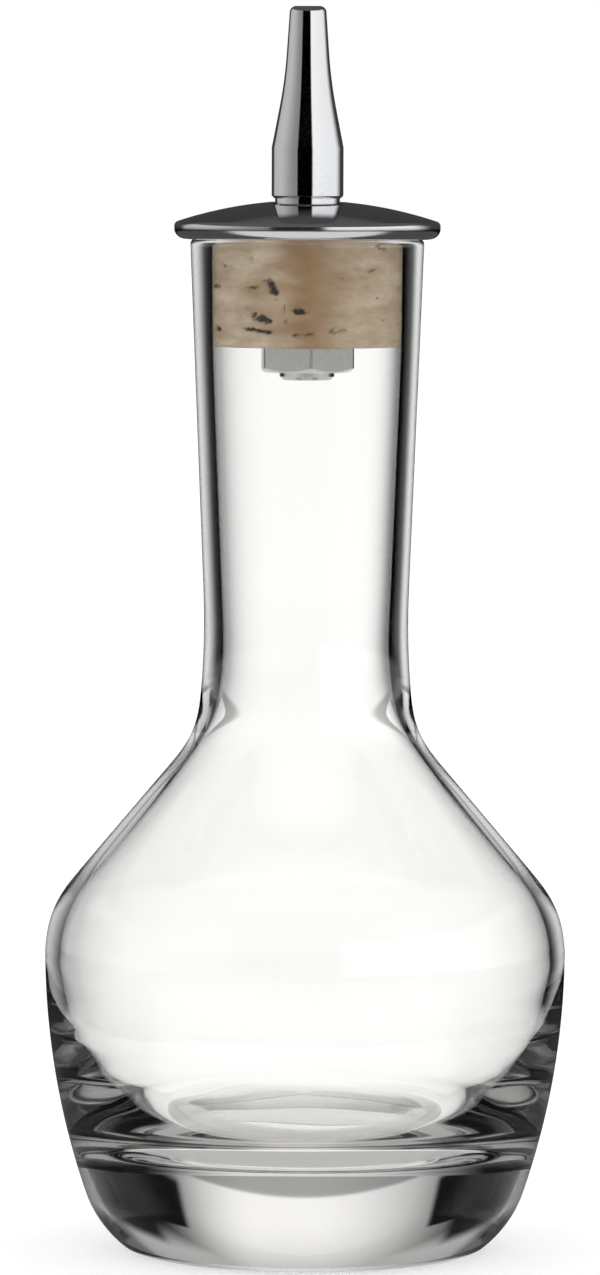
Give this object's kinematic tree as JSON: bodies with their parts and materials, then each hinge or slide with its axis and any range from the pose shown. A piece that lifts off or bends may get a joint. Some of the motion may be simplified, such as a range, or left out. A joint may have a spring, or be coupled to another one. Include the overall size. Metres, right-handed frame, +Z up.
{
  "type": "bitters bottle",
  "caption": "Clear glass bitters bottle with a thick base, sloping shoulder and tapered neck, closed by a cork under a domed polished plate with a tapered dasher nozzle.",
  "frame": {"origin": "on the bottle's axis, in the plane of the ring that it stands on", "axes": "+Z up along the bottle's axis towards the nozzle's tip, +X to the right and +Y to the back as the front is seen"},
  "size_m": [0.0604, 0.0604, 0.1444],
  "materials": {
    "bottle": "clear polished blown glass, colourless",
    "cork": "natural cork, fine pores and dark lenticels",
    "cap_plate": "mirror-polished plated metal",
    "nozzle": "mirror-polished plated metal",
    "nut": "bright plated steel"
  },
  "bodies": {
    "root": {"bottle": "bottle", "cork": "cork", "cap_plate": "cap_plate", "nozzle": "nozzle", "nut": "nut"}
  },
  "joints": []
}
